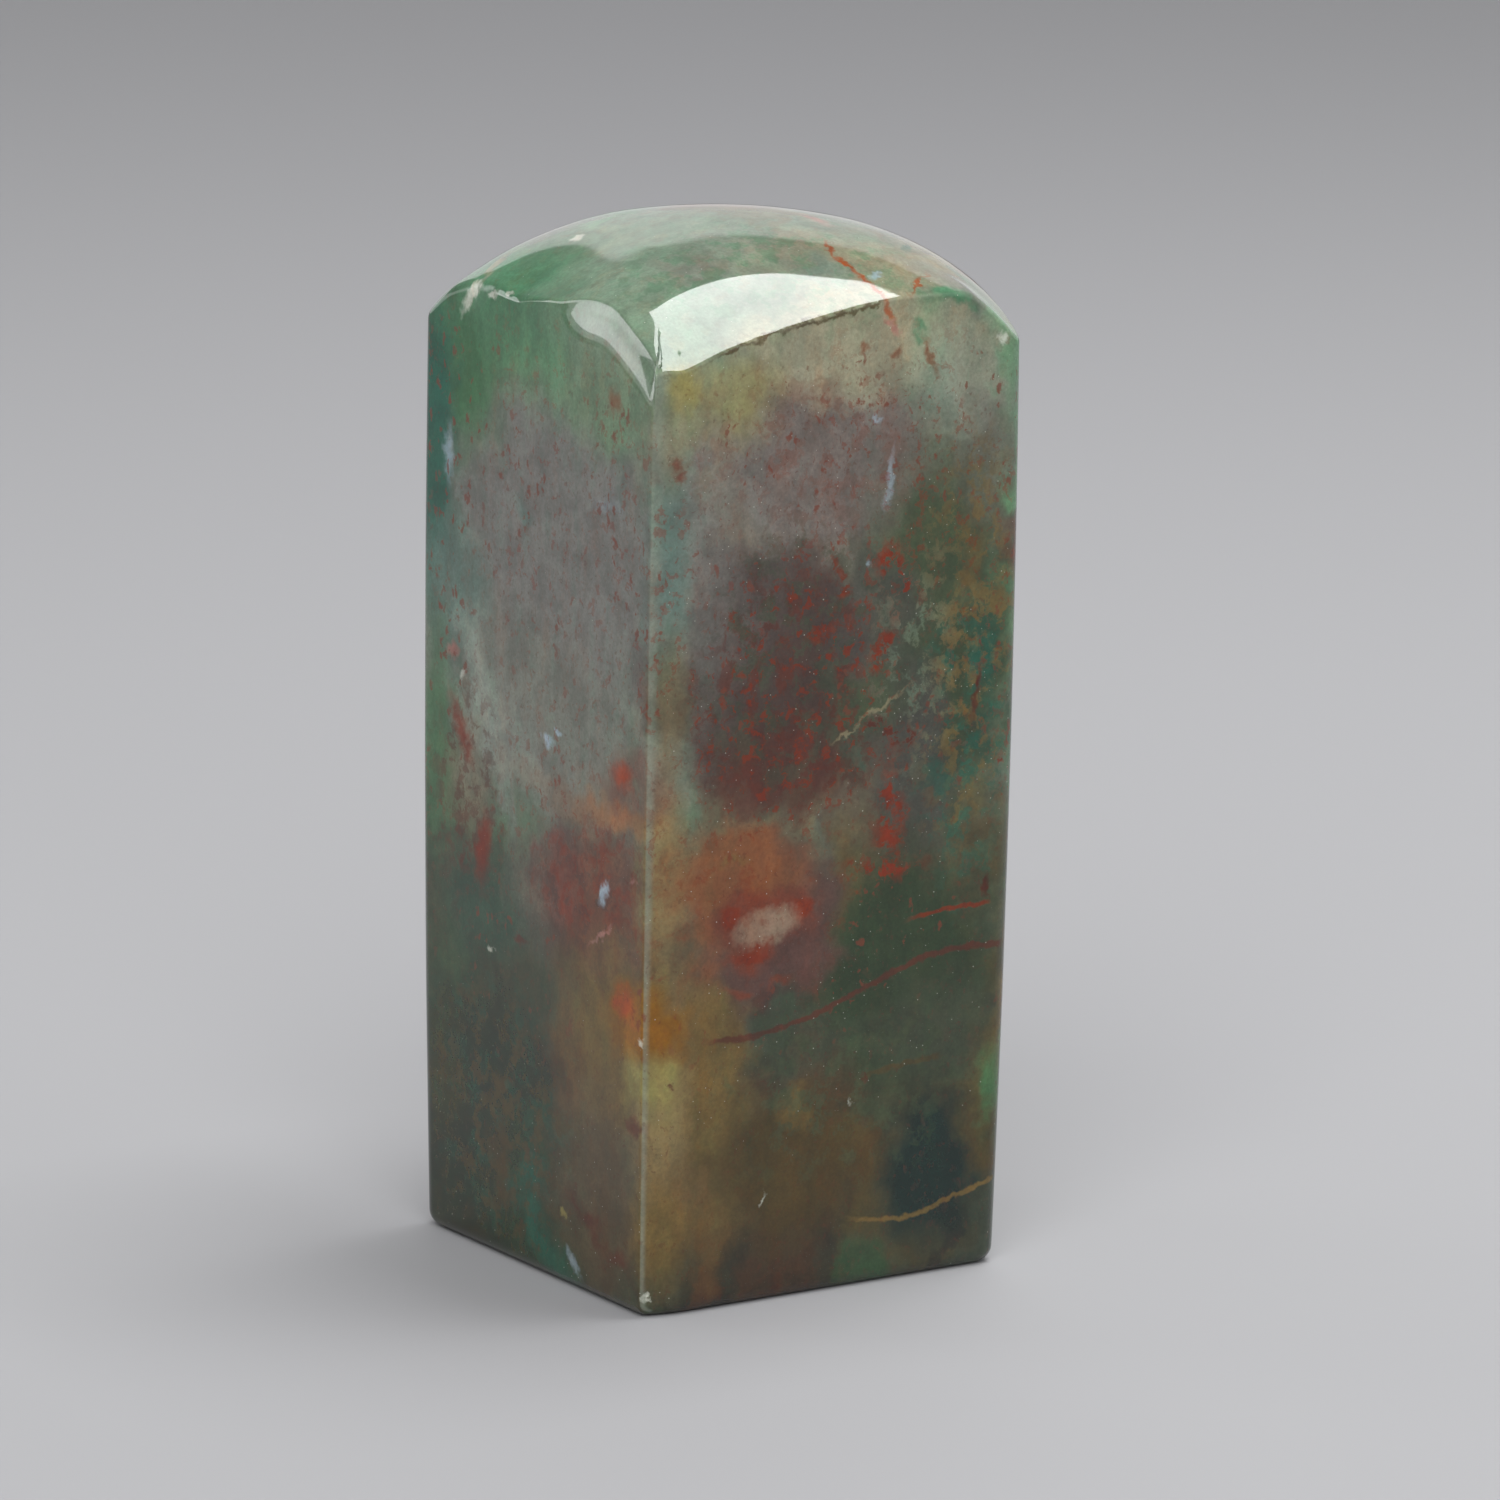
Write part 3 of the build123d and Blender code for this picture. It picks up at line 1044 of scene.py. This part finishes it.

# %% [markdown]
# An orange vein crosses the crown. Its left shoulder has a healed crack and pale flakes, and a dark line of
# painted shade, a painted dark reflection of the rim, runs under the highlight along the right rim.

# %% Marks of the crown
crown_marks = {
    "orange vein, start": ("vermilion", (829, 248), 9, 2.0, 54, 0.7),
    "orange vein": ("vermilion", (848, 266), 16, 2.2, 37, 0.7),
    "orange vein, bend": ("vermilion", (864, 279), 6, 2.5, 45, 0.7),
    "orange vein, end": ("vermilion", (878, 291), 13, 2.5, 42, 0.7),
    "orange vein over the rim": ("vermilion", (890, 312), 3, 12, -20, 0.7, 0.8),
    "second orange vein": ("vermilion", (918, 284), 13, 2.0, -51, 0.7, 0.8),
    "pink streak on the rim": ("rose", (815, 219), 16, 2.0, 19, 0.7, 0.7),
    "teal spot on the crown": ("teal", (906, 248), 5, 4, 0, 0.7, 0.6),
    "frost by the vein": ("frost", (875, 275), 5, 3, 0, 0.7, 0.6),
    "healed crack": ("milk", (472, 294), 4, 18, 27, 0.7, 0.8),
    "healed crack, ridge": ("stone yellow", (496, 264), 17, 2.5, -43, 0.7, 0.8),
    "flake": ("milk", (492, 294), 4, 5, 0, 0.5, 0.8),
    "second pale flake": ("milk", (509, 294), 2.5, 3, 0, 0.6, 0.7),
    "long flake": ("milk", (577, 238), 7, 2.0, -20, 0.6, 0.8),
    "chip, right shoulder": ("milk", (1003, 338), 5, 3.5, 30, 0.7, 0.8),
    # Painted shade: the dark line on the rim stands for the rim's dark reflection.
    "dark line on the rim, front": ("olive brown", (733, 350), 22, 3, -25, 0.6, 0.85),
    "dark line on the rim": ("olive brown", (770, 335), 19, 3, -19, 0.6, 0.85),
    "dark line on the rim, middle": ("olive brown", (803, 324), 17, 3, -17, 0.6, 0.85),
    "dark line on the rim, back": ("olive brown", (838, 315), 21, 3, -13, 0.6, 0.85),
    "dark line on the rim, end": ("olive brown", (870, 307), 15, 2.5, -16, 0.6, 0.85),
    "chip at the tip": ("milk", (645, 1298), 3, 4, 0, 0.5, 0.9),
}
colour_now = lay_patches(colour_now, crown_marks, tight=True)
print(f"{len(crown_marks)} marks are laid on the crown and its rim.")

# %% [markdown]
# Healed cracks cross the right face as long red threads. A thread is a sheet through the stone: the height of
# its middle is a curve over the place along the face, and whatever lies close to that height is red. The
# place is half warped, because a thread in stone wavers less than a cloud's border does.

# %% Veins
half_warped = vector_sum(vector_sum(place_mm, tight_place), (0.5, 0.5, 0.5), "MULTIPLY")
vein_parts = add("SeparateXYZ", {0: half_warped})
vein_span = 30
face_from = -9.0
face_full = -11.0


def lay_vein(under, colour, pixels, width, strength):
    """Lay a thread through the named pixels. width is half its width in millimetres."""
    knots = [surface_at(pixel)[0] for pixel in pixels]
    curve = add("FloatCurve", {"Value": calculate("MULTIPLY_ADD", vein_parts.outputs[0], 1 / vein_span, 0.5)})
    line = curve.mapping.curves[0].points
    for place, knot in enumerate(knots):
        spot = (knot[0] / vein_span + 0.5, knot[2] / stone_height)
        point = line[place] if place < 2 else line.new(*spot)
        point.location = spot
    curve.mapping.update()
    height = calculate("MULTIPLY", curve.outputs[0], stone_height)
    gap = calculate("ABSOLUTE", calculate("SUBTRACT", vein_parts.outputs[2], height))
    first, last = knots[0][0], knots[-1][0]
    inside = stepped(vein_parts.outputs[0], first - 0.3, first + 1.5)
    inside = calculate("MULTIPLY", inside, stepped(vein_parts.outputs[0], last + 0.3, last - 0.3))
    on_face = stepped(vein_parts.outputs[1], face_from, face_full, 0.0, strength)
    inside = calculate("MULTIPLY", inside, on_face)
    mask = calculate("MULTIPLY", inside, stepped(gap, width, width * 0.3))
    return mixed(mask, under, colour)


long_pixels = [(700, 1042), (735, 1040), (800, 1020), (870, 985), (930, 955), (1001, 943)]
foot_pixels = [(842, 1219), (906, 1216), (931, 1207), (962, 1192), (993, 1176)]
veins = {
    "long vein": ("brick", long_pixels, 0.26, 0.8),
    "short vein": ("iron red", [(905, 920), (950, 908), (988, 902)], 0.20, 0.8),
    "faint vein": ("olive brown", [(855, 1080), (900, 1065), (940, 1055)], 0.25, 0.7),
    "foot vein": ("khaki", foot_pixels, 0.22, 0.9),
}
for colour, pixels, width, strength in veins.values():
    colour_now = lay_vein(colour_now, colour, pixels, width, strength)
print(f"{len(veins)} veins cross the right face.")

# %% [markdown]
# The sharp front edge catches light and shows as a bright hairline, painted here as a pale line: a painted
# highlight. It lies on the left plane, further from the corner towards the foot, where the ground strip is
# deeper.

# %% Hairline
edge_parts = add("SeparateXYZ", {0: place_mm})
edge_curve = add("FloatCurve", {"Value": calculate("MULTIPLY", edge_parts.outputs[2], 1 / stone_height)})
edge_line = edge_curve.mapping.curves[0].points
for place, share in enumerate((0.0, 1.0, 0.25, 0.5, 0.75)):
    height = share * stone_height
    depth = strip_depth[0] + (strip_depth[1] - strip_depth[0]) * min(height / belly_top, 1)
    spot = (share, (side_half(height) - depth) / stone_side)
    point = edge_line[place] if place < 2 else edge_line.new(*spot)
    point.location = spot
edge_curve.mapping.update()
edge_place = calculate("MULTIPLY", edge_curve.outputs[0], -stone_side)
edge_gap = calculate("ABSOLUTE", calculate("SUBTRACT", edge_parts.outputs[1], edge_place))
# Painted highlight: a pale hairline along the sharp front edge.
hairline_highlight_mask = stepped(edge_gap, 0.10, 0.02)
hairline_highlight_mask = calculate("MULTIPLY", hairline_highlight_mask, stepped(edge_parts.outputs[0], -11.2, -11.5, 0.0, 0.55))
colour_now = mixed(hairline_highlight_mask, colour_now, "pale jade")
print(f"The hairline follows {len(edge_line)} knots.")

# %% [markdown]
# ## Grain
# Up close the quartz is never one colour. Upright streaks a few tenths of a millimetre wide are a little
# warmer or greener than their surroundings, and soft clouds a few millimetres wide are paler or darker. Both
# multiply the colour that is there, so that they stay in keeping with every zone.

# %% Streaks and clouds
streak_place = vector_sum(tight_place, (1.0, 1.0, 0.22), "MULTIPLY")
streak_noise = noise(streak_place, 1.5, 5.0, 0.6)
cloud_noise = noise(loose_place, 0.42, 4.0, 0.6)
fine_noise = noise(place_mm, 5.5, 3.0, 0.65)
lightness = stepped(cloud_noise.outputs[0], 0.30, 0.70, 0.82, 1.18)
streak_light = stepped(streak_noise.outputs[0], 0.28, 0.72, 0.92, 1.08)
fine_light = stepped(fine_noise.outputs[0], 0.25, 0.75, 0.88, 1.12)
light = calculate("MULTIPLY", calculate("MULTIPLY", lightness, streak_light), fine_light)
light_colour = add("CombineColor", {0: light, 1: light, 2: light}).outputs[0]
colour_now = mixed(1.0, colour_now, light_colour, "MULTIPLY")
tint_noise = noise(vector_sum(streak_place, (17, 3, 9)), 0.9, 4.0, 0.6).outputs[0]
warm = stepped(tint_noise, 0.50, 0.72)
green = stepped(tint_noise, 0.50, 0.28)
warm_share = calculate("MULTIPLY", warm, 0.25)
colour_now = mixed(warm_share, colour_now, mixed(1.0, colour_now, (1.32, 0.86, 0.74, 1), "MULTIPLY"))
green_share = calculate("MULTIPLY", green, 0.28)
colour_now = mixed(green_share, colour_now, mixed(1.0, colour_now, (0.72, 1.10, 0.98, 1), "MULTIPLY"))
print(f"With its grain, the stone has {len(tree.nodes)} nodes.")

# %% [markdown]
# Red iron sits in the quartz as dots and flecks, more in some zones than in others, few on the crown and few
# near the foot. A cell pattern makes the dots: each cell may hold one, of its own size. Flecks are the peaks
# of a noise, because they are ragged.


# %% Iron dots and flecks
def dots(vector, scale, smallest, largest, share):
    """Soft round dots: a mask from a cell pattern, where only some cells hold a dot, each of its own size."""
    cells = add("TexVoronoi", {"Vector": vector, "Scale": scale, "Randomness": 1.0})
    luck = add("SeparateColor", {0: cells.outputs["Color"]})
    radius = stepped(luck.outputs[0], 0.0, 1.0, smallest, largest)
    inside = calculate("DIVIDE", cells.outputs["Distance"], radius)
    chosen = calculate("LESS_THAN", luck.outputs[1], share)
    return calculate("MULTIPLY", stepped(inside, 1.0, 0.5), chosen)


iron_place = vector_sum(tight_place, (1.0, 1.0, 0.55), "MULTIPLY")
iron = dots(iron_place, 1.7, 0.14, 0.42, 0.75)
iron_zone = stepped(noise(upright_place, 0.2, 2.0).outputs[0], 0.42, 0.58)
iron_zone = calculate("MULTIPLY", iron_zone, stepped(height_share, 55.0, 51.0, 0.15))
iron_zone = calculate("MULTIPLY", iron_zone, stepped(height_share, 10.0, 20.0, 0.15))
colour_now = mixed(calculate("MULTIPLY", calculate("MULTIPLY", iron, iron_zone), 0.75), colour_now, "wine")
iron_fine = dots(iron_place, 3.6, 0.14, 0.40, 0.5)
fine_share = stepped(height_share, 55.0, 51.0, 0.08, 0.35)
colour_now = mixed(calculate("MULTIPLY", iron_fine, fine_share), colour_now, "brick")
fleck_noise = noise(vector_sum(tight_place, (3, 8, 21)), 1.5, 3.0, 0.6).outputs[0]
fleck_zone = calculate("MULTIPLY", stepped(red_noise, 0.40, 0.52), stepped(height_share, 16.0, 30.0, 0.12))
fleck_zone = calculate("MULTIPLY", fleck_zone, stepped(height_share, 56.0, 50.0, 0.2))
fleck_zone = calculate("MULTIPLY", fleck_zone, 0.6)
fleck_zone = calculate("MAXIMUM", fleck_zone, patch_mask((790, 700), 108, 150, 0, 0.3))
fleck_zone = calculate("MAXIMUM", fleck_zone, patch_mask((575, 650), 100, 200, 0, 0.5, 0.5))
flecks = calculate("MULTIPLY", stepped(fleck_noise, 0.575, 0.64), fleck_zone)
colour_now = mixed(calculate("MULTIPLY", flecks, 0.7), colour_now, "iron red")
print(f"With its iron, the stone has {len(tree.nodes)} nodes.")

# %% [markdown]
# The polished skin holds pale dust: specks of two sizes, made in the same way.

# %% Dust
pale_dots = dots(place_mm, 2.4, 0.04, 0.11, 0.5)
fine_dots = dots(vector_sum(place_mm, (9, 4, 2)), 5.0, 0.05, 0.14, 0.4)
colour_now = mixed(calculate("MULTIPLY", pale_dots, 0.6), colour_now, "milk")
colour_now = mixed(calculate("MULTIPLY", fine_dots, 0.35), colour_now, "pale jade")
print(f"With its dust, the stone has {len(tree.nodes)} nodes.")

# %% [markdown]
# ## Polish
# The sides and the crown are polished like glass, with faint smudges. The sealing face is only ground flat,
# so it is duller and shows fine parallel lines, and the healed crack on the crown stays a little rough.

# %% Finish
colour_now = add("HueSaturation", {"Saturation": 1.2, "Color": colour_now}).outputs[0]
tree.links.new(colour_now, shader.inputs["Base Color"])
smudges = stepped(noise(place_mm, 0.25, 3.0).outputs[0], 0.35, 0.70, 0.030, 0.065)
crack_mask = patch_mask((478, 290), 14, 26, 30, 0.4, 0.22, tight=True)
ground_face = stepped(edge_parts.outputs[2], 0.30, 0.02, 0.0, 0.30)
roughness = calculate("ADD", smudges, calculate("MAXIMUM", crack_mask, ground_face))
tree.links.new(roughness, shader.inputs["Roughness"])
grinding_place = vector_sum(place_mm, (0.4, 9.0, 1.0), "MULTIPLY")
grinding_lines = noise(grinding_place, 1.0, 3.0).outputs[0]
bump = add("Bump", {"Height": calculate("MULTIPLY", grinding_lines, ground_face), "Distance": 0.00002})
tree.links.new(bump.outputs["Normal"], shader.inputs["Normal"])
shader.inputs["IOR"].default_value = 1.54
shader.inputs["Subsurface Weight"].default_value = 0.35
shader.inputs["Subsurface Radius"].default_value = (1.0, 1.0, 0.8)
shader.inputs["Subsurface Scale"].default_value = 0.0012
stone_mesh.materials.append(stone_finish)
print(f"The stone's material has {len(tree.nodes)} nodes.")

# %% [markdown]
# ## Floor
# A studio table is a wide pale sheet. A plain disc will do, as its edge lies outside the camera's view.

# %% Floor
floor_radius = 4.0
bpy.ops.mesh.primitive_circle_add(vertices=128, radius=floor_radius, fill_type="NGON", location=(0, 0, 0))
floor = bpy.context.object
floor.name = "floor"
floor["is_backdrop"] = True
floor_finish = bpy.data.materials.new("pale_table")
floor_finish.use_nodes = True
floor_shader = floor_finish.node_tree.nodes["Principled BSDF"]
floor_shader.inputs["Base Color"].default_value = (0.33, 0.33, 0.34, 1)
floor_shader.inputs["Roughness"].default_value = 0.7
floor.data.materials.append(floor_finish)
print(f"The floor is {2 * floor_radius:.0f} m across.")

# %% [markdown]
# ## Backdrop and sky
# The world is a pale band round the horizon with a dimmer sky over it, which the crown's far edge picks up as
# a pale rim. The band reaches higher towards +X and less high on the other side, as cards that stand round
# a table do. The calls that made the stone's nodes make the world's too, once tree names its node tree.

# %% World
world = bpy.data.worlds.new("studio")
bpy.context.scene.world = world
world.use_nodes = True
tree = world.node_tree
towards = add("SeparateXYZ", {0: add("TexCoord").outputs["Generated"]})
beyond = add("MapRange", {0: towards.outputs["X"], 1: 0.33, 4: 0.50}).outputs[0]
before = stepped(towards.outputs["X"], 0.27, 0.13, 0.0, 0.38)
band_place = calculate("ADD", calculate("SUBTRACT", towards.outputs["Z"], beyond), before)
ramp = add("ValToRGB", {"Fac": band_place})
tree.links.new(ramp.outputs["Color"], tree.nodes["Background"].inputs["Color"])
sky = {
    0.0: (0.75, 0.75, 0.76, 1),
    0.49: (1.2, 1.2, 1.2, 1),
    0.53: (0.30, 0.30, 0.31, 1),
    1.0: (0.30, 0.30, 0.31, 1),
}
stops = ramp.color_ramp.elements
for number, (height, colour) in enumerate(sky.items()):
    stop = stops[number] if number < 2 else stops.new(height)
    stop.position = height
    stop.color = colour
print(f"The sky has {len(stops)} stops.")

# %% [markdown]
# ## Lamps
# One soft light hangs over the stone, and the polished crown mirrors it as the sharp pale highlight. A card
# low behind it, on the left, lights the left face's rolled top, and a wide soft light in front fills both
# faces. How bright each one's face looks matters more here than its power, so the power is worked out.

# %% Lamps
def add_softbox(name, place, aim, size, radiance):
    """A soft rectangular light. radiance is how bright its face looks, where 1 is a white page."""
    data = bpy.data.lights.new(name, "AREA")
    data.shape = "RECTANGLE"
    data.size, data.size_y = size
    data.energy = radiance * size[0] * size[1] * math.pi
    lamp = bpy.data.objects.new(name, data)
    bpy.context.scene.collection.objects.link(lamp)
    facing = (Vector(aim) - Vector(place)).to_track_quat("-Z", "Y").to_matrix().to_4x4()
    lamp.matrix_world = Matrix.Translation(Vector(place)) @ facing


add_softbox("overhead_softbox", (0.187, -0.045, 0.62), (0.187, -0.045, 0), (0.283, 0.36), 8.6)
add_softbox("low_card", (-0.74, 0.88, 0.30), (0, 0, 0.05), (0.40, 0.44), 3.0)
add_softbox("front_softbox", (-0.66, -0.90, 1.00), (0, 0, 0.03), (1.2, 1.2), 4.8)
bpy.context.scene.view_settings.view_transform = "Standard"
print(f"{len(bpy.data.lights)} soft lights are lit.")

# %% [markdown]
# ## Sizes
# The skin's size is printed in millimetres, as the imported block's was at the start. The skin
# must not be larger than the imported block.

# %% Sizes and finish
new_low, new_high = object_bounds()
skin_side = (new_high.x - new_low.x) / MM
skin_height = (new_high.z - new_low.z) / MM
print(f"The skin is {skin_side:.2f} mm across and {skin_height:.2f} mm tall.")
